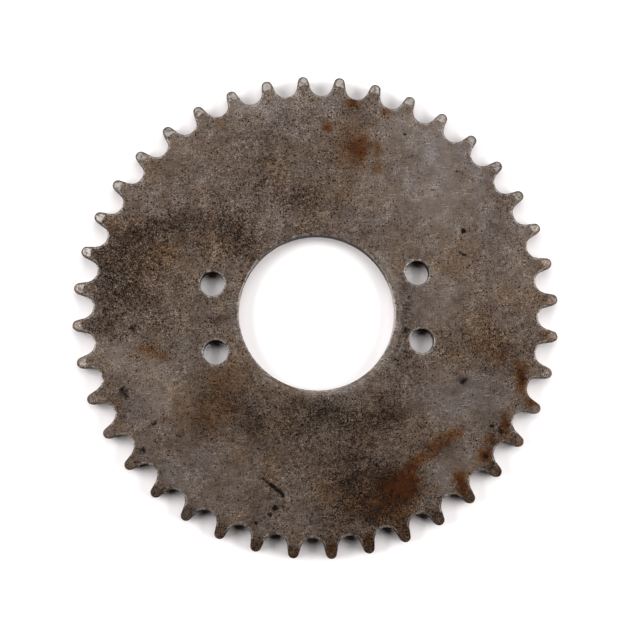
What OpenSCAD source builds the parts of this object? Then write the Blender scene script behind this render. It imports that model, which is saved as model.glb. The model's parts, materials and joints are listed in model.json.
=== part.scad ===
// Rear sprocket: one flat steel plate with chain teeth round its rim, a plain central bore
// and four bolt holes in a rectangle. It lies flat, with its lower face at z = 0 and the
// bore's axis on +Z. +X runs along the long side of the bolt rectangle and through a tooth.

/* [Chain] */
// Chain pitch, from one roller's centre to the next
chain_pitch = 15.875; // [13.2:0.005:19.05]
// Diameter of the chain's rollers
roller_d = 10.16; // [8.4:0.02:12.2]

/* [Teeth] */
// Number of teeth
teeth = 40; // [33:1:60]
// Play between a roller and the seat it rests in, on the diameter
seat_play = 0.12; // [0:0.02:0.3]
// Height of the tips above the pitch circle
tip_height = 3.9; // [2.9:0.1:4.5]
// Angle between a tooth's flank and its centre line
flank_angle = 11; // [9:1:15]
// Length of the bevel on each side of a tip, along the radius
tip_bevel_len = 4.5; // [2:0.1:5]
// Depth of that bevel at the tip, from each face of the plate
tip_bevel_depth = 1.4; // [0.5:0.1:1.8]

/* [Plate] */
// Thickness of the plate
plate_t = 5.8; // [4.8:0.1:9]
// Diameter of the central bore
bore_d = 67.5; // [40:0.1:81]
// Chamfer on both edges of the bore
bore_chamfer = 0.5; // [0.1:0.1:0.6]

/* [Bolt holes] */
// Distance between the bolt holes along X
bolt_span_x = 88.9; // [86:0.1:110]
// Distance between the bolt holes along Y
bolt_span_y = 29.7; // [20:0.1:60]
// Diameter of each bolt hole
bolt_hole_d = 10.5; // [8:0.1:12.6]
// Chamfer on both edges of each bolt hole
bolt_chamfer = 0.3; // [0.1:0.1:0.4]

/* [Hidden] */

steel = [0.38, 0.32, 0.29];
// How far a cut or a blank runs past the surface that it has to clear
over = 1;

tooth_step = 360 / teeth;
pitch_r = chain_pitch / (2 * sin(tooth_step / 2));
tip_r = pitch_r + tip_height;
seat_r = (roller_d + seat_play) / 2;

// Centre of the seat to the right of a tooth that points along +Y
seat_x = pitch_r * sin(tooth_step / 2);
seat_y = pitch_r * cos(tooth_step / 2);
// Each flank leaves its seat and meets the tip's round without a corner, which sets the round
tip_round = (seat_x * cos(flank_angle) - (tip_r - seat_y) * sin(flank_angle) - seat_r)
    / (1 - sin(flank_angle));
flank_foot = [seat_x - seat_r * cos(flank_angle), seat_y - seat_r * sin(flank_angle)];
flank_head = [tip_round * cos(flank_angle), tip_r - tip_round * (1 - sin(flank_angle))];

function mirrored(p) = [-p[0], p[1]];
function turned(p, a) = [p[0] * cos(a) - p[1] * sin(a), p[0] * sin(a) + p[1] * cos(a)];

// Every tooth's two flanks, joined by straight lines across its tip and across each gap
module flank_outline() {
    tooth = [flank_foot, flank_head, mirrored(flank_head), mirrored(flank_foot)];
    polygon([for (i = [0:teeth - 1], p = tooth) turned(p, i * tooth_step - 90)]);
}

// The plate's outline, with a true arc at each tip and at each roller seat
module plate_outline() {
    difference() {
        union() {
            flank_outline();
            for (i = [0:teeth - 1])
                rotate(i * tooth_step)
                    translate([tip_r - tip_round, 0])
                        circle(tip_round, $fn = 48);
        }
        for (i = [0:teeth - 1])
            rotate((i + 0.5) * tooth_step)
                translate([pitch_r, 0])
                    circle(seat_r, $fn = 64);
    }
}

// The turned blank: flat on both faces, with a cone at the rim that bevels the tips
module blank() {
    slope = tip_bevel_depth / tip_bevel_len;
    bevel_start_r = tip_r - tip_bevel_len;
    blank_r = tip_r + over;
    rim_z = (blank_r - bevel_start_r) * slope;
    rotate_extrude($fn = 256)
        polygon([
            [0, 0],
            [bevel_start_r, 0],
            [blank_r, rim_z],
            [blank_r, plate_t - rim_z],
            [bevel_start_r, plate_t],
            [0, plate_t]
        ]);
}

// A round hole through the plate, with the same chamfer on both edges
module chamfered_hole(d, chamfer) {
    translate([0, 0, -over])
        cylinder(h = plate_t + 2 * over, d = d, $fn = 128);
    for (side = [0, 1])
        translate([0, 0, side * plate_t])
            mirror([0, 0, side])
                translate([0, 0, -over])
                    cylinder(h = over + chamfer, r1 = d / 2 + chamfer + over, r2 = d / 2, $fn = 128);
}

module sprocket_plate() {
    color(steel)
    difference() {
        intersection() {
            linear_extrude(plate_t) plate_outline();
            blank();
        }
        chamfered_hole(bore_d, bore_chamfer);
        for (x = [-1, 1], y = [-1, 1])
            translate([x * bolt_span_x / 2, y * bolt_span_y / 2, 0])
                chamfered_hole(bolt_hole_d, bolt_chamfer);
    }
}

sprocket_plate();
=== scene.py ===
"""A rear sprocket: its visible surface and steel, a pale floor, soft light and the camera."""

import json
import math
from typing import NamedTuple

import bpy
import numpy as np
from mathutils import Matrix, Vector
from mathutils.geometry import delaunay_2d_cdt


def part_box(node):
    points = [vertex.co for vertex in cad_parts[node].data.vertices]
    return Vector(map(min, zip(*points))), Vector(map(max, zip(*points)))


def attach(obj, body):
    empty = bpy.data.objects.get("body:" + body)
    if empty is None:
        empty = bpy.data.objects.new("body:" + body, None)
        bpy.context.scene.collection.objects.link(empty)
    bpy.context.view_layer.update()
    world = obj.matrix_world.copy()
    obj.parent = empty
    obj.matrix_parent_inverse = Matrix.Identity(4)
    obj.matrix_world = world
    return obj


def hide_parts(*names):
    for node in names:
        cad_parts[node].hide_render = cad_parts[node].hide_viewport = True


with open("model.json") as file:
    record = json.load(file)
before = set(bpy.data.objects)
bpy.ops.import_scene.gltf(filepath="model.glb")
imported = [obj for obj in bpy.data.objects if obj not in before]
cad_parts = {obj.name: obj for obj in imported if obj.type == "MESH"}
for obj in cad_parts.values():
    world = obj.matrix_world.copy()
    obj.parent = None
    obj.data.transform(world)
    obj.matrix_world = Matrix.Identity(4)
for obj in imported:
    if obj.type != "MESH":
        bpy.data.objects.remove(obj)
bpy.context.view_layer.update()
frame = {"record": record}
mounts = {m["name"]: m for m in frame["record"]["mounts"]}

# ---------------------------------------------------------------- sizes, in millimetres
MM = 0.001
low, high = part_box("sprocket_plate")
THICK = (high.z - low.z) / MM
BORE_R = mounts["bore"]["dims"]["r_mm"]
HOLE_R = mounts["bolt_holes"]["dims"]["hole_r_mm"]
HOLE_X = mounts["bolt_holes"]["dims"]["spacing_x_mm"] / 2
HOLE_Y = mounts["bolt_holes"]["dims"]["spacing_y_mm"] / 2
# The frame doesn't give the tooth's own sizes, so they repeat the CAD source's
TEETH = 40
PITCH = 15.875
ROLLER_D = 10.16
SEAT_PLAY = 0.12
FLANK = math.radians(11)
BEVEL_LEN = 4.5
BEVEL_DEPTH = 1.4
SEAT_R = (ROLLER_D + SEAT_PLAY) / 2

STEP = 2 * math.pi / TEETH
PITCH_R = PITCH / (2 * math.sin(STEP / 2))
TIP_R = high.x / MM
SEAT_X = PITCH_R * math.sin(STEP / 2)
SEAT_Y = PITCH_R * math.cos(STEP / 2)
TIP_ROUND = (SEAT_X * math.cos(FLANK) - (TIP_R - SEAT_Y) * math.sin(FLANK) - SEAT_R) / (
    1 - math.sin(FLANK)
)
BEVEL_R = TIP_R - BEVEL_LEN
SLOPE = BEVEL_DEPTH / BEVEL_LEN

# The worn roll of the upper edges: how far in it reaches (W) and how deep it goes (H)
ROOT_ROLL_W, ROOT_ROLL_H = 1.3, 0.42
TIP_ROLL_W, TIP_ROLL_H = 0.5, 0.34
BORE_ROLL_W, BORE_ROLL_H = 2.0, 0.5
HOLE_ROLL_W, HOLE_ROLL_H = 0.6, 0.4
UNDER_ROLL_W, UNDER_ROLL_H = 0.35, 0.3

# Rows of points down a roll, down a wall and round a lower edge
ROLL_STEPS = 6
WALL_STEPS = 4
UNDER_STEPS = 3

# Spacing of the points inside a face, and beyond FINE_R, where the teeth are
FINE_R = 95.5
TOP_SPACING, TOP_RIM_SPACING = 1.0, 0.62
LOW_SPACING, LOW_RIM_SPACING = 1.5, 0.9


# ---------------------------------------------------------------- smooth random fields
class Field:
    """Seeded smooth noise over the plane, from 0 to 1."""

    def __init__(self, seed):
        self.grid = np.random.default_rng(seed).random((256, 256))

    def one(self, x, y):
        i, j = np.floor(x).astype(int), np.floor(y).astype(int)
        u, v = x - i, y - j
        u, v = u * u * (3 - 2 * u), v * v * (3 - 2 * v)
        g = self.grid
        a = g[i % 256, j % 256] * (1 - u) + g[(i + 1) % 256, j % 256] * u
        b = g[i % 256, (j + 1) % 256] * (1 - u) + g[(i + 1) % 256, (j + 1) % 256] * u
        return a * (1 - v) + b * v

    def __call__(self, p, size, octaves=3):
        x, y = p[:, 0] / size + 91.7, p[:, 1] / size + 47.3
        total, weight, out = 0.0, 1.0, 0
        for _ in range(octaves):
            out = out + weight * self.one(x, y)
            total += weight
            weight *= 0.5
            x, y = 1.93 * x + 0.6 * y + 3.1, 1.93 * y - 0.6 * x + 7.9
        return out / total


f1, f2, f3, f4 = Field(11), Field(23), Field(37), Field(51)


def ragged(p, size, reach):
    """A smooth random shift for each point, up to that reach, which makes edges ragged."""
    return reach * 2 * np.stack([f1(p, size) - 0.5, f2(p, size) - 0.5], 1)


def smooth(low_edge, high_edge, x):
    """A soft step from 0 at the first edge to 1 at the second."""
    t = np.clip((x - low_edge) / (high_edge - low_edge), 0, 1)
    return t * t * (3 - 2 * t)


def band(x, middle, width):
    """A soft bump round the middle."""
    return np.exp(-(((x - middle) / width) ** 2))


def radius(p):
    return np.hypot(p[:, 0], p[:, 1])


# ---------------------------------------------------------------- the outline
def outline():
    """One closed loop round the teeth, anticlockwise from a gap: points and outward normals."""
    half = []
    for a in np.linspace(0, math.pi / 2 - FLANK, 7):
        n = (math.cos(a), math.sin(a))
        half.append((TIP_R - TIP_ROUND + TIP_ROUND * n[0], TIP_ROUND * n[1], *n))
    n = (math.sin(FLANK), math.cos(FLANK))
    head = np.array(half[-1][:2])
    foot = np.array([SEAT_Y - SEAT_R * n[0], SEAT_X - SEAT_R * n[1]])
    for s in (0.25, 0.5, 0.75, 1):
        half.append((*(head + (foot - head) * s), *n))
    for a in np.linspace(1.5 * math.pi - FLANK, math.pi + STEP / 2, 13)[1:]:
        c, s = math.cos(a), math.sin(a)
        half.append((SEAT_Y + SEAT_R * c, SEAT_X + SEAT_R * s, -c, -s))
    half = np.array(half)
    other = half[:0:-1] * [1, -1, 1, -1]
    tooth = np.vstack([other, half[:-1]])
    loops = []
    for k in range(TEETH):
        c, s = math.cos(k * STEP), math.sin(k * STEP)
        turn = np.array([[c, s], [-s, c]])
        loops.append(np.hstack([tooth[:, :2] @ turn, tooth[:, 2:] @ turn]))
    ring = np.vstack(loops)
    return ring[:, :2], ring[:, 2:]


def rim_depth(p):
    """How far a point lies inside the toothed outline."""
    r = radius(p)
    a = np.arctan2(p[:, 1], p[:, 0])
    a = np.abs((a + STEP / 2) % STEP - STEP / 2)
    u, v = r * np.cos(a), r * np.sin(a)
    nu, nv = math.sin(FLANK), math.cos(FLANK)
    tip_u = TIP_R - TIP_ROUND
    hu, hv = tip_u + TIP_ROUND * nu, TIP_ROUND * nv
    along = -(u - hu) * nv + (v - hv) * nu
    length = -(SEAT_Y - SEAT_R * nu - hu) * nv + (SEAT_X - SEAT_R * nv - hv) * nu
    tip = TIP_ROUND - np.hypot(u - tip_u, v)
    flank = -((u - hu) * nu + (v - hv) * nv)
    seat = np.hypot(u - SEAT_Y, v - SEAT_X) - SEAT_R
    return np.where(along < 0, tip, np.where(along < length, flank, seat))


def circle(cx, cy, r, count):
    """A hole's loop: points, and normals that point into the hole."""
    a = np.arange(count) * 2 * math.pi / count
    d = np.stack([np.cos(a), np.sin(a)], 1)
    return d * r + [cx, cy], -d


HOLES = [(sx * HOLE_X, sy * HOLE_Y) for sx in (-1, 1) for sy in (-1, 1)]


def hole_depth(p):
    """Distance from the nearest bore or bolt hole's wall, into the steel."""
    d = radius(p) - BORE_R
    for x, y in HOLES:
        d = np.minimum(d, np.hypot(p[:, 0] - x, p[:, 1] - y) - HOLE_R)
    return d


def hole_roll(p):
    """How far in the rolled edge of the nearest hole reaches, with a little to spare."""
    return np.where(radius(p) < BORE_R + 3, BORE_ROLL_W, HOLE_ROLL_W + 0.1)


def bevel_drop(r):
    """How far the tips' bevel lies below the face, with a soft start."""
    d = r - BEVEL_R
    return SLOPE * (d + np.sqrt(d * d + 0.03)) / 2


# ---------------------------------------------------------------- marks on the outer face
# Every patch and spot is (x, y, half width, half height, strength), in millimetres.
# Above zero the scale is lighter, below zero it is darker.
TONE = [
    (-25, 92, 22, 6, 1.8), (6, 92, 14, 5, 0.5), (-58, 76, 16, 8, 0.8), (58, 56, 24, 34, 1.9),
    (46, 84, 12, 8, 0.8), (88, 14, 8, 14, 1.2), (62, 4, 14, 8, 0.6), (-90, -13, 6, 7, 1.8),
    (-78, -18, 6, 4, 0.8), (-68, -30, 8, 11, 1.8), (-78, -42, 7, 7, 0.8), (-62, -62, 16, 12, 0.8),
    (-48, -76, 12, 8, 0.9), (48, -74, 6, 6, 1.6), (60, -66, 6, 5, 1.0), (64, -41, 12, 8, 1.2),
    (48, -46, 10, 5, 0.6), (85, -8, 5, 5, 0.6), (-5, 51, 8, 6, -1.8), (-22, 58, 8, 8, -0.8),
    (14, 48, 8, 5, -0.7), (-62, 41, 16, 6, -2.3), (-36, 36, 9, 7, -2.2), (-29, 30, 5, 5, -1.5),
    (-85, 20, 9, 15, -2.2), (-70, 32, 10, 8, -1.9), (-74, 12, 9, 8, -0.9), (-91, 1, 3.5, 4, -2.4),
    (-41, 0, 6, 3, -1.8), (-70, -13, 6, 3, -1.6), (-42, -40, 14, 9, -1.8), (-29, -47, 6, 6, -1.6),
    (2, -47, 20, 7, -2.7), (27, -46, 12, 6, -2.0), (-52, -48, 5, 5, -0.8), (-4, -60, 14, 6, -0.9),
    (14, -76, 12, 14, -2.6), (29, -78, 10, 10, -2.0), (20, -90, 14, 6, -1.8), (46, -62, 9, 4, -1.5),
    (8, -66, 8, 8, -1.0), (77, -21, 8, 7, -1.7), (62, -16, 9, 5, -0.5), (38, -22, 6, 8, -1.2),
    (39, -2, 3, 10, -1.6), (21, 71, 7, 6, -1.0), (20, 88, 5, 4, -0.8), (74, -60, 5, 8, -1.4),
]
# Above zero the scale is bluer, below zero it is browner.
BLUE = [
    (58, 62, 22, 26, 0.8), (78, 40, 8, 20, 0.4), (62, -40, 16, 9, 1.1), (-62, -64, 14, 14, 0.7),
    (2, 91, 14, 4, 0.6), (54, 2, 9, 9, 0.6), (48, -74, 7, 6, 0.9), (58, -64, 7, 5, 0.7),
    (-10, -88, 14, 5, 0.6), (28, 32, 10, 6, 0.5), (75, 25, 2, 26, 0.3), (-20, 56, 6, 6, 0.3),
    (-76, -38, 7, 8, 0.4), (-58, 30, 16, 12, -0.5), (-38, 30, 7, 6, -0.3), (-45, -38, 13, 10, -0.6),
    (71, -18, 10, 8, -0.7), (18, 50, 7, 7, -0.4), (8, -80, 10, 9, -0.5), (46, -14, 8, 5, -0.4),
    (72, 22, 4, 6, -0.3), (-34, 84, 5, 4, -0.3), (20, -50, 16, 8, -0.2),
]
# How coarse the scale's grain is, above or below its usual amount.
GRAIN = [
    (58, 58, 24, 34, -0.45), (62, -41, 17, 10, -0.55), (54, -68, 10, 8, -0.5),
    (-60, 76, 20, 12, -0.2), (-54, -56, 28, 28, -0.35), (50, 0, 12, 12, -0.4),
    (-80, 20, 16, 22, 0.5), (-20, 50, 25, 12, 0.3), (-38, 34, 12, 10, 0.4), (0, 88, 24, 8, 0.2),
    (72, -20, 14, 10, 0.3),
]
RUST = [
    (19, 70, 11, 11, 0.6), (23, 72, 4, 6, 0.5), (8.5, 81, 1.8, 1.8, 1.5), (31, 71, 1.5, 5, 0.7),
    (30, 61, 3, 3, 0.5), (21, 91, 3, 3.5, 1.0), (36, 88, 2.5, 2, 0.8), (34, 86, 2, 2, 0.6),
    (26, -76, 7, 6, 0.75), (34, -76, 6, 6, 1.4), (12, -82, 12, 10, 0.45), (28, -88, 10, 7, 0.5),
    (86, -32, 3, 7, 1.3), (78, -24, 3.5, 3.5, 0.6), (89.5, -43, 2.5, 3, 1.2), (82, -44, 2, 2, 0.5),
    (77.5, -53, 2, 5, 1.2), (71, -58.5, 3, 2, 1.0), (68, -65, 2.6, 3, 1.2), (57, -76.5, 3, 5, 1.5),
    (45.8, -79, 2, 2, 0.7), (98.5, -16, 2, 2, 0.8), (-0.3, -100.5, 2.5, 2.5, 0.7),
    (16.3, -98.5, 2.5, 2.5, 0.7), (-73, -12.5, 6, 4, 0.75), (-66.5, -16, 3, 2, 0.6),
    (-44, -26, 8, 4, 0.4), (-42, -38, 10, 8, 0.25), (-37.4, 87.2, 1, 1, 0.9),
    (-25, 84, 0.9, 0.9, 0.8), (-63, 54.7, 0.9, 0.9, 0.8), (-78.5, 52.4, 0.9, 0.9, 0.8),
    (68, -20, 9, 8, 0.35), (72, 23, 4, 5, 0.25), (49, 27, 2, 2, 0.3), (-94, -5, 2.5, 1.5, 0.6),
    (18, 50, 4, 6, 0.2), (-58, 30, 16, 10, 0.16), (-45, -38, 11, 8, 0.16),
]
# Dark spots that are also dents.
DENTS = [
    (65.8, 32.2, 0.9, 0.9, 1.4), (65, 58.8, 0.6, 0.6, 0.8), (43.3, 76.5, 0.6, 0.6, 0.8),
    (21.3, -66.7, 0.7, 0.7, 0.9), (72, -53.3, 0.8, 0.8, 0.9), (-22.8, -82.4, 1.2, 1.0, 1),
    (-25, -85, 0.7, 0.7, 0.8), (-31, -88, 0.8, 0.7, 0.8), (-79, -3, 1.7, 2.8, 0.5),
    (-84.5, -29, 2.2, 2.6, 0.36), (-85, -40, 1.5, 1.5, 0.42), (-83.5, -33, 2.4, 5, 0.27),
]
# Dark spots that are flat.
SPOTS = [
    (-77.4, -54.7, 2.2, 2.0, 0.48), (56, -77.5, 1.8, 3, 0.4), (68.5, -66, 1.3, 1.5, 0.5),
    (75.5, -55, 1.3, 3, 0.5), (86.5, -33, 1.6, 3, 0.45), (-46.5, -76, 0.8, 0.7, 0.5),
    (40.5, 3, 2.0, 4.5, 0.34), (38, -10, 1.2, 4.5, 0.3), (-41, 0, 4, 2, 0.22),
    (62, -33, 1.6, 1.6, 0.35), (-37, -54, 0.9, 0.9, 0.4), (-32, -46, 1.5, 1.5, 0.3),
    (54, 51, 0.9, 0.5, 0.6), (46, 67, 0.6, 0.6, 0.5), (66.5, 4, 0.7, 0.7, 0.6),
    (37, -60, 3, 1.5, 0.3), (60, -33, 2, 2, 0.4),
]
# Lines: (points, width, strength, depth). They are dark above zero and bright below it.
SCORES = [
    ([(-27.5, -69.5), (-23.5, -73)], 0.7, 0.9, 0.15),
    ([(-23.5, -73), (-21, -75), (-19, -77.5)], 1.25, 1.1, 0.2),
    ([(-55.5, -60), (-50, -66)], 0.3, 0.45, 0.03),
    ([(-53, -59.5), (-48.5, -64.5)], 0.3, 0.4, 0.03),
    ([(-47, -60.5), (-43.5, -62.5)], 0.4, 0.5, 0.03),
    ([(-66, -51), (-58, -54), (-50, -54.5)], 0.35, 0.3, 0.02),
    ([(-16, -71), (-10, -70)], 0.3, 0.3, 0.02),
    ([(75.4, 50), (77.3, 18), (81, -10)], 0.45, 0.24, 0.03),
    ([(74.3, 50), (76.2, 18), (79.9, -10)], 0.5, -0.3, 0.0),
    ([(63, 23.5), (66, 21.3)], 0.7, 0.9, 0.12),
    ([(-74, -45), (-71, -43)], 0.9, 0.8, 0.12),
    ([(-53.5, -61), (-47, -69)], 0.45, 0.5, 0.05),
    ([(-48, -62), (-45, -63)], 0.5, 0.6, 0.06),
    ([(-80, 5.5), (-77, 5.5)], 0.5, 0.6, 0.06),
    ([(-58, -19.5), (-58, -22.5)], 0.4, -0.7, 0.04),
    ([(-37, -12), (-35.5, -17)], 0.35, -0.6, 0.03),
    ([(57, -54.7), (50, -58.5), (42, -64.7), (36, -68)], 2.6, 0.25, 0.0),
]
# The middle of the long rust streak
RUST_LINE = [(57, -54.7), (50, -58.5), (42, -64.7), (36, -68)]
# The marks that a hub wore round the bore
HUB_MARK_R = 38.6
HUB_RINGS_R = 38.3
HUB_RING_STEP = 1.15


def patches(p, rows, shift):
    """The sum of soft patches at the points, each of which is moved by its own shift first."""
    q = p + shift
    out = np.zeros(len(p))
    for x, y, rx, ry, strength in rows:
        d = ((q[:, 0] - x) / rx) ** 2 + ((q[:, 1] - y) / ry) ** 2
        out += strength * np.exp(-0.8 * d)
    return out


def line_distance(p, points):
    best = np.full(len(p), 1e9)
    for a, b in zip(points[:-1], points[1:]):
        a, b = np.array(a, float), np.array(b, float)
        d = b - a
        t = np.clip((p - a) @ d / (d @ d), 0, 1)
        best = np.minimum(best, np.hypot(*(p - a - t[:, None] * d).T))
    return best


def line_mark(p, points, width):
    """How much of a ragged line of that width there is at each point, from 0 to 1."""
    return np.exp(-((line_distance(p + ragged(p, 1.5, 0.3), points) / width) ** 2) * 1.4)


def painted(p):
    """The painted amounts at points of the outer face."""
    r = radius(p)
    azimuth = np.degrees(np.arctan2(p[:, 1], p[:, 0]))
    tone = 0.1 * patches(p, TONE, ragged(p, 9, 4))
    blue = patches(p, BLUE, ragged(p, 9, 6))
    grain = patches(p, GRAIN, ragged(p, 9, 4))
    rust = patches(p, RUST, ragged(p, 2.6, 2.2))
    rust += 0.8 * smooth(3.8, 1.6, line_distance(p + ragged(p, 3, 1.6), RUST_LINE))
    grime = 1.6 * patches(p, DENTS + SPOTS, ragged(p, 1.2, 0.4))
    score = np.zeros(len(p))
    for points, width, strength, _ in SCORES:
        mark = line_mark(p, points, width)
        if strength > 0:
            grime += strength * mark
        else:
            score -= strength * mark

    # The lowest tips are darker and rustier
    front = smooth(-0.3, -0.9, p[:, 1] / np.maximum(r, 1)) * smooth(95, 100.5, r)
    tone -= 0.2 * front
    rust += 0.22 * front

    # Right of the bore: a broken dark ring and fine worn rings, left by a hub
    right = smooth(-42, -20, azimuth) * smooth(30, 12, azimuth)
    ring = band(r, HUB_MARK_R, 1.2) * right * smooth(0.42, 0.68, f3(p, 1.6))
    grime += 0.55 * ring
    turns = (r + 0.5 * f1(p, 8)) / HUB_RING_STEP
    rings = smooth(0.1, 0.9, np.sin(2 * math.pi * turns))
    rings *= smooth(-62, -30, azimuth) * smooth(40, 15, azimuth) * band(r, HUB_RINGS_R, 2.3)
    score += 0.7 * rings * smooth(0.25, 0.6, f2(p, 3))
    tone -= 0.12 * rings * smooth(0.7, 0.35, f2(p, 3))

    # A painted highlight along the lower side of the bore, where its rolled edge faces the light,
    # and a bright arc at its upper right
    bore_highlight_side = np.clip(0.35 - 0.75 * np.sin(np.radians(azimuth - 20)), 0, 1)
    tone += 0.24 * bore_highlight_side * band(r, 35.2, 1.4) * (0.6 + 0.8 * f3(p, 3))
    arc = band(r, 36.6, 1.0) * smooth(8, 18, azimuth) * smooth(50, 38, azimuth)
    score += 0.45 * arc

    # Bare metal: the tips' bevels, polished by the chain and with a painted highlight that grows
    # towards the top, and the rolled edges
    bevel = smooth(BEVEL_R - 0.15, BEVEL_R + 0.25, r + 0.5 * (f1(p, 1.7) - 0.5))
    inset = np.minimum(rim_depth(p), hole_depth(p))
    edge = smooth(1.5, 0.7, inset + 0.7 * (f2(p, 2.5) - 0.5))
    tip_edge = smooth(0.62, 0.42, rim_depth(p)) * bevel
    tooth = np.round(azimuth / math.degrees(STEP)).astype(int) % TEETH
    luck = np.random.default_rng(3).uniform(0.82, 1.0, TEETH)
    lean = np.radians(azimuth)
    # The bevels' polish is also a painted highlight: it grows towards the top of the plate and
    # fades towards the bottom
    polish_and_highlight = luck[tooth] * (0.59 + 0.45 * np.sin(lean) - 0.06 * np.cos(lean))
    wear_and_highlight = np.maximum(polish_and_highlight * bevel * (1 - tip_edge), 0.6 * edge * (1 - bevel))
    return {
        "tone": tone,
        "blue": blue,
        "rust": rust,
        "grime": grime,
        "score": score,
        "wear_and_highlight": wear_and_highlight,
        "grain": grain,
    }


def carved(p):
    """The height of the grooves and dents at the points, zero or below."""
    height = np.zeros(len(p))
    for points, width, _, depth in SCORES:
        height -= depth * line_mark(p, points, width)
    for x, y, rx, ry, strength in DENTS:
        d = ((p[:, 0] - x) / rx) ** 2 + ((p[:, 1] - y) / ry) ** 2
        height -= 0.12 * strength * np.exp(-d)
    return height


# ---------------------------------------------------------------- the mesh
def lattice(spacing, seed):
    """Points of a jittered triangular lattice over the plate."""
    rng = np.random.default_rng(seed)
    n = int(TIP_R / spacing) + 2
    i, j = np.meshgrid(np.arange(-n, n + 1), np.arange(-int(n * 1.2), int(n * 1.2) + 1))
    x = (i + 0.5 * (j % 2)) * spacing
    y = j * spacing * math.sqrt(3) / 2
    p = np.stack([x.ravel(), y.ravel()], 1).astype(float)
    return p + rng.uniform(-0.22, 0.22, p.shape) * spacing


def dense_points(seed):
    """Extra points where small marks need them."""
    rng = np.random.default_rng(seed)
    out = []
    for x, y, rx, ry, _ in DENTS + SPOTS:
        count = int(10 + 16 * rx * ry)
        a, s = rng.uniform(0, 2 * math.pi, count), np.sqrt(rng.random(count)) * 1.7
        out.append(np.stack([x + rx * s * np.cos(a), y + ry * s * np.sin(a)], 1))
    for points, width, _, depth in SCORES:
        if depth:
            for a, b in zip(points[:-1], points[1:]):
                a, b = np.array(a, float), np.array(b, float)
                count = int(np.hypot(*(b - a)) * 9)
                t = rng.random(count)[:, None]
                out.append(a + t * (b - a) + rng.normal(0, width * 0.8, (count, 2)))
    return np.vstack(out)


def thin_out(p, gap):
    """Drops points that share a small square with another."""
    key = np.round(p / gap).astype(int)
    _, keep = np.unique(key, axis=0, return_index=True)
    return p[np.sort(keep)]


class Edge(NamedTuple):
    """A closed edge of the plate: the rim, the bore or a bolt hole."""

    points: np.ndarray  # anticlockwise
    out: np.ndarray  # unit normals that point out of the steel
    roll_w: np.ndarray
    roll_h: np.ndarray
    wall: object  # painted highlight on the wall above zero, painted shade below it
    is_hole: bool


def make_edges():
    points, out = outline()
    on_bevel = smooth(BEVEL_R - 0.6, BEVEL_R + 0.9, radius(points))
    roll_w = ROOT_ROLL_W * (1 - on_bevel) + TIP_ROLL_W * on_bevel
    roll_h = ROOT_ROLL_H * (1 - on_bevel) + TIP_ROLL_H * on_bevel
    # The rim's walls get a little painted shade
    edges = [Edge(points, out, roll_w, roll_h, -0.4, False)]

    # The bore's wall gets a painted highlight at its right, towards -8 degrees, and painted shade
    # towards 90, as the light falls on it
    points, out = circle(0, 0, BORE_R, 320)
    off = np.abs(np.degrees(np.arctan2(points[:, 1], points[:, 0])) + 8)
    wall = 0.06 + 0.5 * smooth(48, 20, off) - 0.8 * smooth(80, 55, np.abs(off - 98))
    one = np.ones(len(points))
    edges.append(Edge(points, out, BORE_ROLL_W * one, BORE_ROLL_H * one, wall, True))

    for x, y in HOLES:
        points, out = circle(x, y, HOLE_R, 80)
        one = np.ones(len(points))
        # The bolt holes' walls get deep painted shade
        edges.append(Edge(points, out, HOLE_ROLL_W * one, HOLE_ROLL_H * one, -0.9, True))
    return edges


def face_mesh(loops, spacing, rim_spacing, seed, extra=()):
    """Points and triangles of one face: its loops' points first, in order, then those inside."""
    sides, start = [], 0
    for loop in loops:
        n = len(loop)
        sides += [(start + i, start + (i + 1) % n) for i in range(n)]
        start += n
    coarse = lattice(spacing, seed)
    fine = lattice(rim_spacing, seed + 1)
    coarse = coarse[radius(coarse) < FINE_R]
    fine = fine[radius(fine) >= FINE_R]
    inside = thin_out(np.vstack([*extra, coarse, fine]), rim_spacing * 0.55)
    clear = rim_depth(inside) > ROOT_ROLL_W + 0.45 * spacing
    clear &= hole_depth(inside) > hole_roll(inside) + 0.45 * spacing
    on_tip = (radius(inside) > BEVEL_R) & (rim_depth(inside) > TIP_ROLL_W + 0.4 * rim_spacing)
    points = np.vstack([*loops, inside[clear | on_tip]])

    result = delaunay_2d_cdt([Vector(q) for q in points], sides, [], 0, 1e-5)
    triangles, source = result[2], result[3]
    back = [s[0] for s in source]
    triangles = np.array([[back[i] for i in t] for t in triangles if len(t) == 3])
    middle = points[triangles].mean(1)
    in_steel = (rim_depth(middle) > 0.2) & (hole_depth(middle) > 0.2)
    return points, triangles[in_steel]


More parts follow.
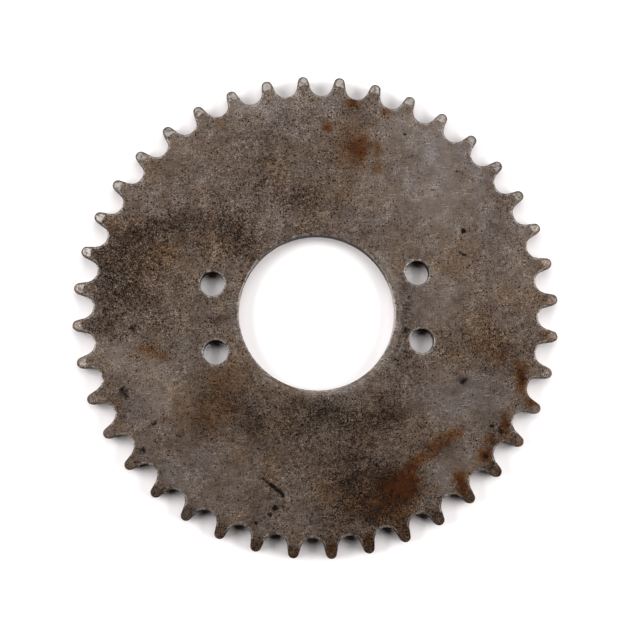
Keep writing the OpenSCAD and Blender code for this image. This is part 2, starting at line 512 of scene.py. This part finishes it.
def build_plate():
    """The plate's points and triangles, and for each point if it is on top, and its painted wall
    light and shade.
    """
    edges = make_edges()
    top_loops = [e.points - e.out * e.roll_w[:, None] for e in edges]
    low_loops = [e.points - e.out * UNDER_ROLL_W for e in edges]
    top_p, top_t = face_mesh(top_loops, TOP_SPACING, TOP_RIM_SPACING, 5, [dense_points(9)])
    low_p, low_t = face_mesh(low_loops, LOW_SPACING, LOW_RIM_SPACING, 15)
    wave = 0.05 * (f4(top_p, 22, 2) - 0.5) + 0.05 * (f3(top_p, 5, 3) - 0.5)
    top_z = THICK - bevel_drop(radius(top_p)) + carved(top_p) + wave
    low_z = bevel_drop(radius(low_p)) + 0.06 * (f1(low_p, 6, 3) - 0.5) + 0.03

    points, on_top, wall_light_and_shade = [], [], []

    def add(p, z, is_top, wall):
        """Adds points and returns their numbers."""
        start = sum(len(q) for q in points)
        points.append(np.column_stack([p, z]))
        on_top.append(np.full(len(p), is_top))
        wall_light_and_shade.append(np.full(len(p), wall, float))
        return start + np.arange(len(p))

    top_row = add(top_p, top_z, True, 0)
    low_row = add(low_p, low_z, False, 0)
    triangles = [top_row[top_t], low_row[low_t[:, ::-1]]]

    start = 0
    for edge in edges:
        part = slice(start, start + len(edge.points))
        start = part.stop
        rows = [top_row[part]]

        lift = top_z[part] - (THICK - bevel_drop(radius(top_p[part])))
        # The roll's last row, the wall and the lower edge's first row carry the edge's painted
        # light and shade
        for k in range(1, ROLL_STEPS + 1):
            a = 0.5 * math.pi * k / ROLL_STEPS
            p = edge.points - edge.out * (edge.roll_w * (1 - math.sin(a)))[:, None]
            roll = edge.roll_h * (1 - math.cos(a))
            z = THICK - bevel_drop(radius(p)) - roll + lift * math.cos(a)
            rows.append(add(p, z, True, edge.wall if k == ROLL_STEPS else 0))

        wall_top, wall_foot = z, bevel_drop(radius(edge.points)) + UNDER_ROLL_H
        for k in range(1, WALL_STEPS):
            s = k / WALL_STEPS
            rows.append(add(edge.points, wall_top * (1 - s) + wall_foot * s, False, edge.wall))

        for k in range(UNDER_STEPS, 0, -1):
            a = 0.5 * math.pi * k / UNDER_STEPS
            p = edge.points - edge.out * (UNDER_ROLL_W * (1 - math.sin(a)))
            z = bevel_drop(radius(p)) + UNDER_ROLL_H * (1 - math.cos(a))
            rows.append(add(p, z, False, edge.wall if k == UNDER_STEPS else 0))
        rows.append(low_row[part])

        for upper, lower in zip(rows[:-1], rows[1:]):
            a, b = upper, np.roll(upper, -1)
            c, d = lower, np.roll(lower, -1)
            if edge.is_hole:
                triangles += [np.column_stack([a, b, d]), np.column_stack([a, d, c])]
            else:
                triangles += [np.column_stack([a, d, b]), np.column_stack([a, c, d])]

    return np.vstack(points), np.vstack(triangles), np.concatenate(on_top), np.concatenate(wall_light_and_shade)


def make_object():
    points, triangles, on_top, wall = build_plate()
    mesh = bpy.data.meshes.new("plate_surface")
    mesh.vertices.add(len(points))
    mesh.vertices.foreach_set("co", (points * MM).astype(np.float32).ravel())
    mesh.loops.add(len(triangles) * 3)
    mesh.loops.foreach_set("vertex_index", triangles.astype(np.int32).ravel())
    mesh.polygons.add(len(triangles))
    loop_starts = np.arange(0, len(triangles) * 3, 3, dtype=np.int32)
    mesh.polygons.foreach_set("loop_start", loop_starts)
    mesh.polygons.foreach_set("use_smooth", np.ones(len(triangles), bool))
    mesh.update(calc_edges=True)
    mesh.validate()
    amounts = {name: np.where(on_top, a, 0) for name, a in painted(points[:, :2]).items()}
    # The wall attribute holds the painted light and shade of the walls
    for name, values in {**amounts, "wall": wall}.items():
        layer = mesh.attributes.new(name, "FLOAT", "POINT")
        layer.data.foreach_set("value", values.astype(np.float32))
    obj = bpy.data.objects.new("plate_surface", mesh)
    bpy.context.scene.collection.objects.link(obj)
    print("plate_surface:", len(points), "points,", len(triangles), "triangles")
    return obj


plate = make_object()


# ---------------------------------------------------------------- materials
class Nodes:
    """A small helper that writes shader nodes as function calls."""

    def __init__(self, name):
        self.mat = bpy.data.materials.new(name)
        self.mat.use_nodes = True
        self.tree = self.mat.node_tree
        self.tree.nodes.clear()

    def new(self, kind, **settings):
        node = self.tree.nodes.new(kind)
        for key, value in settings.items():
            setattr(node, key, value)
        return node

    def put(self, socket, value):
        """Links a socket to another one, or sets it to a value, or leaves it alone for None."""
        if isinstance(value, bpy.types.NodeSocket):
            self.tree.links.new(value, socket)
        elif value is not None:
            socket.default_value = value

    def math(self, op, a, b=None, c=None, clamp=False):
        node = self.new("ShaderNodeMath", operation=op, use_clamp=clamp)
        for socket, value in zip(node.inputs, (a, b, c)):
            self.put(socket, value)
        return node.outputs[0]

    def add(self, first, *others):
        for other in others:
            first = self.math("ADD", first, other)
        return first

    def attr(self, name):
        return self.new("ShaderNodeAttribute", attribute_name=name).outputs["Fac"]

    def coords(self, **mapping):
        """The object's own coordinates, through a mapping if one is given."""
        coords = self.new("ShaderNodeTexCoord").outputs["Object"]
        if not mapping:
            return coords
        node = self.new("ShaderNodeMapping")
        self.put(node.inputs["Vector"], coords)
        for key, value in mapping.items():
            node.inputs[key].default_value = value
        return node.outputs[0]

    def noise(self, size_mm, detail, rough=0.55):
        node = self.new("ShaderNodeTexNoise")
        self.put(node.inputs["Vector"], self.coords())
        node.inputs["Scale"].default_value = 1 / (size_mm * MM)
        node.inputs["Detail"].default_value = detail
        node.inputs["Roughness"].default_value = rough
        return node.outputs["Fac"]

    def spots(self, size_mm, shift, far, near, rare, common):
        """Scattered round spots that fade out between two distances, in some cells only."""
        cells = self.new("ShaderNodeTexVoronoi")
        self.put(cells.inputs["Vector"], self.coords(Location=(shift, 0, 0)))
        cells.inputs["Scale"].default_value = 1 / (size_mm * MM)
        luck = self.new("ShaderNodeSeparateColor")
        self.put(luck.inputs[0], cells.outputs["Color"])
        shape = self.ramp(cells.outputs["Distance"], far, near)
        return self.math("MULTIPLY", shape, self.ramp(luck.outputs[0], rare, common))

    def scratches(self, angle, shift):
        """Short fine lines that run at that angle."""
        node = self.new("ShaderNodeTexNoise")
        where = self.coords(
            Location=(shift, shift, 0),
            Rotation=(0, 0, -angle),
            Scale=(1 / (6 * MM), 1 / (0.33 * MM), 1),
        )
        self.put(node.inputs["Vector"], where)
        node.inputs["Scale"].default_value = 1
        node.inputs["Detail"].default_value = 1
        return self.ramp(node.outputs["Fac"], 0.66, 0.74)

    def ramp(self, value, low_in, high_in, low_out=0.0, high_out=1.0, shape="SMOOTHSTEP"):
        node = self.new("ShaderNodeMapRange", interpolation_type=shape)
        self.put(node.inputs["Value"], value)
        limits = {"From Min": low_in, "From Max": high_in, "To Min": low_out, "To Max": high_out}
        for key, limit in limits.items():
            node.inputs[key].default_value = limit
        return node.outputs["Result"]

    def swing(self, value, reach, low_in=0.0, high_in=1.0):
        """Turns a noise into a push from -reach to reach."""
        return self.ramp(value, low_in, high_in, -reach, reach, "LINEAR")

    def mix(self, fac, a, b, blend="MIX"):
        node = self.new("ShaderNodeMix", data_type="RGBA", blend_type=blend)
        self.put(node.inputs[0], fac)
        self.put(node.inputs[6], (*a, 1) if isinstance(a, tuple) else a)
        self.put(node.inputs[7], (*b, 1) if isinstance(b, tuple) else b)
        return node.outputs[2]

    def tinted(self, fac, color, tint):
        """The colour multiplied by a tint, as far as fac says."""
        return self.mix(fac, color, self.mix(1.0, color, tint, "MULTIPLY"))


SCALE_STOPS = [
    (0.0, (0.006, 0.0038, 0.0028)),
    (0.22, (0.024, 0.0148, 0.0100)),
    (0.5, (0.078, 0.0555, 0.0420)),
    (0.72, (0.131, 0.103, 0.086)),
    (1.0, (0.255, 0.222, 0.198)),
]
COOL_TINT, WARM_TINT = (0.94, 1.01, 1.13), (1.12, 0.94, 0.68)
THIN_RUST_TINT, THICK_RUST_TINT = (0.76, 0.52, 0.29), (0.56, 0.265, 0.10)
CRUST = (0.034, 0.0098, 0.0024)
WORN_DULL, WORN_BRIGHT = (0.070, 0.056, 0.047), (0.32, 0.298, 0.278)
GRIME = (0.0045, 0.0028, 0.0024)
SCRATCHED = (0.24, 0.215, 0.19)
# Painted shade for the walls, and cut steel colours that paint the highlight on the bore's right
# wall
WALL_SHADE = (0.026, 0.0155, 0.012)
CUT_SHEEN_DULL, CUT_SHEEN_BRIGHT = (0.40, 0.375, 0.35), (0.60, 0.575, 0.55)


def steel():
    """Bare steel under a worn brown scale, with the painted marks on it."""
    n = Nodes("bare_steel")
    broad = n.noise(16, 2)
    middle = n.noise(5, 3, 0.6)
    fine = n.noise(1.8, 3, 0.6)
    speck = n.noise(0.5, 2, 0.7)
    tint = n.noise(1.1, 2, 0.7)
    tone, blue, rust, grain = n.attr("tone"), n.attr("blue"), n.attr("rust"), n.attr("grain")
    grime, score, wear_and_highlight, wall = n.attr("grime"), n.attr("score"), n.attr("wear_and_highlight"), n.attr("wall")

    # How light the scale is, with 0.5 as its middle tone, and the bore's painted highlight in it.
    # Its crumbs are coarser where it is dark
    level = n.add(0.5, tone, n.swing(broad, 0.17), n.swing(middle, 0.22))
    coarse = n.math("MULTIPLY_ADD", level, -0.7, n.add(grain, 1.3))
    coarse = n.add(coarse, n.swing(n.noise(8, 2), 0.35, 0.3, 0.7))
    crumbs = n.add(n.swing(fine, 0.27), n.swing(speck, 0.78))
    pits = n.spots(1.3, 0.013, 0.34, 0.16, 0.55, 0.75)
    flecks = n.spots(0.95, 0.037, 0.36, 0.18, 0.6, 0.8)
    crumbs = n.math("MULTIPLY_ADD", pits, -0.62, crumbs)
    crumbs = n.math("MULTIPLY_ADD", flecks, 0.24, crumbs)
    level = n.math("MULTIPLY_ADD", crumbs, coarse, level)
    for angle, shift in ((0.62, 0.11), (-0.85, 0.27), (1.35, 0.43)):
        level = n.math("MULTIPLY_ADD", n.scratches(angle, shift), 0.22, level)
    ramp = n.new("ShaderNodeValToRGB")
    while len(ramp.color_ramp.elements) < len(SCALE_STOPS):
        ramp.color_ramp.elements.new(0.5)
    for element, (place, value) in zip(ramp.color_ramp.elements, SCALE_STOPS):
        element.position = place
        element.color = (*value, 1)
    n.put(ramp.inputs[0], level)
    color = ramp.outputs[0]
    hue = n.add(blue, n.swing(n.noise(13, 4), 1.8), n.swing(tint, 1.7))
    color = n.tinted(n.math("MULTIPLY", hue, 0.8, clamp=True), color, COOL_TINT)
    color = n.tinted(n.math("MULTIPLY", hue, -0.8, clamp=True), color, WARM_TINT)

    # Rust stains the scale, and its thickest parts are an opaque crust
    rust_edge = n.add(rust, n.swing(fine, 0.45, 0.3, 0.7))
    rusty = n.ramp(rust_edge, 0.05, 0.95)
    stain = n.mix(n.ramp(rust, 0.4, 1.2), THIN_RUST_TINT, THICK_RUST_TINT)
    color = n.tinted(rusty, color, stain)
    crust = n.add(rust_edge, n.swing(n.noise(2.6, 3), 0.6, 0.3, 0.7))
    crust = n.math("MULTIPLY", n.ramp(crust, 0.8, 1.7), 0.5)
    color = n.mix(crust, color, CRUST)

    # Bare metal where the scale is worn off, with the painted highlight on the bevels, and less of
    # it under rust
    worn = n.add(wear_and_highlight, n.ramp(speck, 0.25, 0.7, -0.35, 0.2, "LINEAR"))
    worn = n.ramp(worn, 0.25, 0.8)
    worn = n.math("MULTIPLY", worn, n.math("SUBTRACT", 1.0, n.math("MULTIPLY", rusty, 0.8)))
    color = n.mix(worn, color, n.mix(n.ramp(fine, 0.3, 0.62), WORN_DULL, WORN_BRIGHT))

    # Dark spots, bright scratches, and the walls: painted shade below zero, freshly cut steel with
    # a painted highlight above it
    grimy = n.ramp(n.add(grime, n.swing(fine, 0.3, 0.3, 0.7)), 0.2, 0.9)
    color = n.mix(grimy, color, GRIME)
    color = n.mix(n.math("MULTIPLY", score, 0.6, clamp=True), color, SCRATCHED)
    color = n.mix(n.math("MULTIPLY", wall, -1.0, clamp=True), color, WALL_SHADE)
    wall = n.math("MAXIMUM", wall, 0.0)
    color = n.mix(wall, color, n.mix(n.ramp(fine, 0.3, 0.7), CUT_SHEEN_DULL, CUT_SHEEN_BRIGHT))

    shader = n.new("ShaderNodeBsdfPrincipled")
    n.put(shader.inputs["Base Color"], color)
    shader.inputs["Specular IOR Level"].default_value = 0.05

    metal = n.math("MULTIPLY_ADD", worn, 0.45, 0.35)
    dirt = n.math("MULTIPLY", n.math("MAXIMUM", rusty, grimy), 0.4)
    metal = n.math("SUBTRACT", metal, dirt)
    metal = n.math("MAXIMUM", metal, n.math("MULTIPLY", wall, 0.95), clamp=True)
    n.put(shader.inputs["Metallic"], metal)

    rough = n.ramp(fine, 0.3, 0.7, 0.42, 0.62, "LINEAR")
    rough = n.add(rough, n.math("MULTIPLY", rusty, 0.25))
    rough = n.math("SUBTRACT", rough, n.math("MULTIPLY", worn, 0.12))
    rough = n.math("SUBTRACT", rough, n.math("MULTIPLY", wall, 0.22), clamp=True)
    n.put(shader.inputs["Roughness"], rough)

    bumps = n.math("MULTIPLY_ADD", fine, 0.6, n.math("MULTIPLY", speck, 0.5))
    bumps = n.math("MULTIPLY_ADD", middle, 0.5, bumps)
    bump = n.new("ShaderNodeBump")
    bump.inputs["Strength"].default_value = 0.7
    bump.inputs["Distance"].default_value = 0.16 * MM
    n.put(bump.inputs["Height"], bumps)
    n.put(shader.inputs["Normal"], bump.outputs[0])

    out = n.new("ShaderNodeOutputMaterial")
    n.put(out.inputs[0], shader.outputs[0])
    return n.mat


plate.data.materials.append(steel())
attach(plate, "root")
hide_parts("sprocket_plate")


# ---------------------------------------------------------------- floor, light and camera
def pale_floor():
    """Matt pale paper. Far from the plate, beyond the panels' light, it glows with its own tone."""
    n = Nodes("pale_floor")
    shader = n.new("ShaderNodeBsdfPrincipled")
    shader.inputs["Base Color"].default_value = (0.882, 0.846, 0.848, 1)
    shader.inputs["Roughness"].default_value = 0.9
    shader.inputs["Specular IOR Level"].default_value = 0.1
    far = n.new("ShaderNodeVectorMath", operation="LENGTH")
    n.put(far.inputs[0], n.coords())
    shader.inputs["Emission Color"].default_value = (1, 1, 1, 1)
    n.put(shader.inputs["Emission Strength"], n.ramp(far.outputs["Value"], 0.35, 1.5))
    out = n.new("ShaderNodeOutputMaterial")
    n.put(out.inputs[0], shader.outputs[0])
    return n.mat


FLOOR_HALF = 20.0  # metres
floor_mesh = bpy.data.meshes.new("floor")
corners = [(x * FLOOR_HALF, y * FLOOR_HALF, 0) for x, y in ((-1, -1), (1, -1), (1, 1), (-1, 1))]
floor_mesh.from_pydata(corners, [], [(0, 1, 2, 3)])
floor = bpy.data.objects.new("floor", floor_mesh)
bpy.context.scene.collection.objects.link(floor)
floor.data.materials.append(pale_floor())

# The plate is lit by the panels alone, and the world is only the pale wall behind it
world = bpy.data.worlds.new("studio")
world.use_nodes = True
sky = world.node_tree
back = sky.nodes["Background"]
back.inputs["Color"].default_value = (1, 1, 1, 1)
to_camera = sky.nodes.new("ShaderNodeLightPath").outputs["Is Camera Ray"]
sky.links.new(to_camera, back.inputs["Strength"])
bpy.context.scene.world = world


def panel(name, azimuth, elevation, distance, width, height, power):
    """A soft panel of light that faces the plate, seen from it at that azimuth and elevation."""
    a, e = math.radians(azimuth), math.radians(elevation)
    toward = Vector((math.cos(a) * math.cos(e), math.sin(a) * math.cos(e), math.sin(e)))
    data = bpy.data.lights.new(name, "AREA")
    data.shape = "RECTANGLE"
    data.size, data.size_y = width, height
    data.energy = power
    light = bpy.data.objects.new(name, data)
    light.location = toward * distance
    light.rotation_euler = (-toward).to_track_quat("-Z", "Y").to_euler()
    bpy.context.scene.collection.objects.link(light)


panel("left_panel", 170, 29, 1.3, 1.15, 0.65, 25)
panel("top_panel", 80, 50, 1.3, 1.2, 1.2, 12.5)
panel("right_panel", -5, 29, 1.3, 1.15, 0.65, 23.5)

scene = bpy.context.scene
scene.view_settings.view_transform = "Standard"
scene.view_settings.look = "None"

# The camera's place, in millimetres from the middle of the upper face, and where it looks
CAMERA_PLACE = Vector((-27.05, -68.54, 559.63))
CAMERA_FORWARD = Vector((0.0462, 0.1194, -0.9918))
CAMERA_UP = Vector((0.0545, 0.9911, 0.1218))

camera_data = bpy.data.cameras.new("camera")
camera_data.sensor_width = 36
camera_data.lens = 74.86
camera_data.clip_start = 0.01
camera = bpy.data.objects.new("camera", camera_data)
forward = CAMERA_FORWARD.normalized()
right = forward.cross(CAMERA_UP).normalized()
up = right.cross(forward).normalized()
turn = Matrix((right, up, -forward)).transposed().to_4x4()
camera.matrix_world = Matrix.Translation((CAMERA_PLACE + Vector((0, 0, THICK))) * MM) @ turn
scene.collection.objects.link(camera)
scene.camera = camera
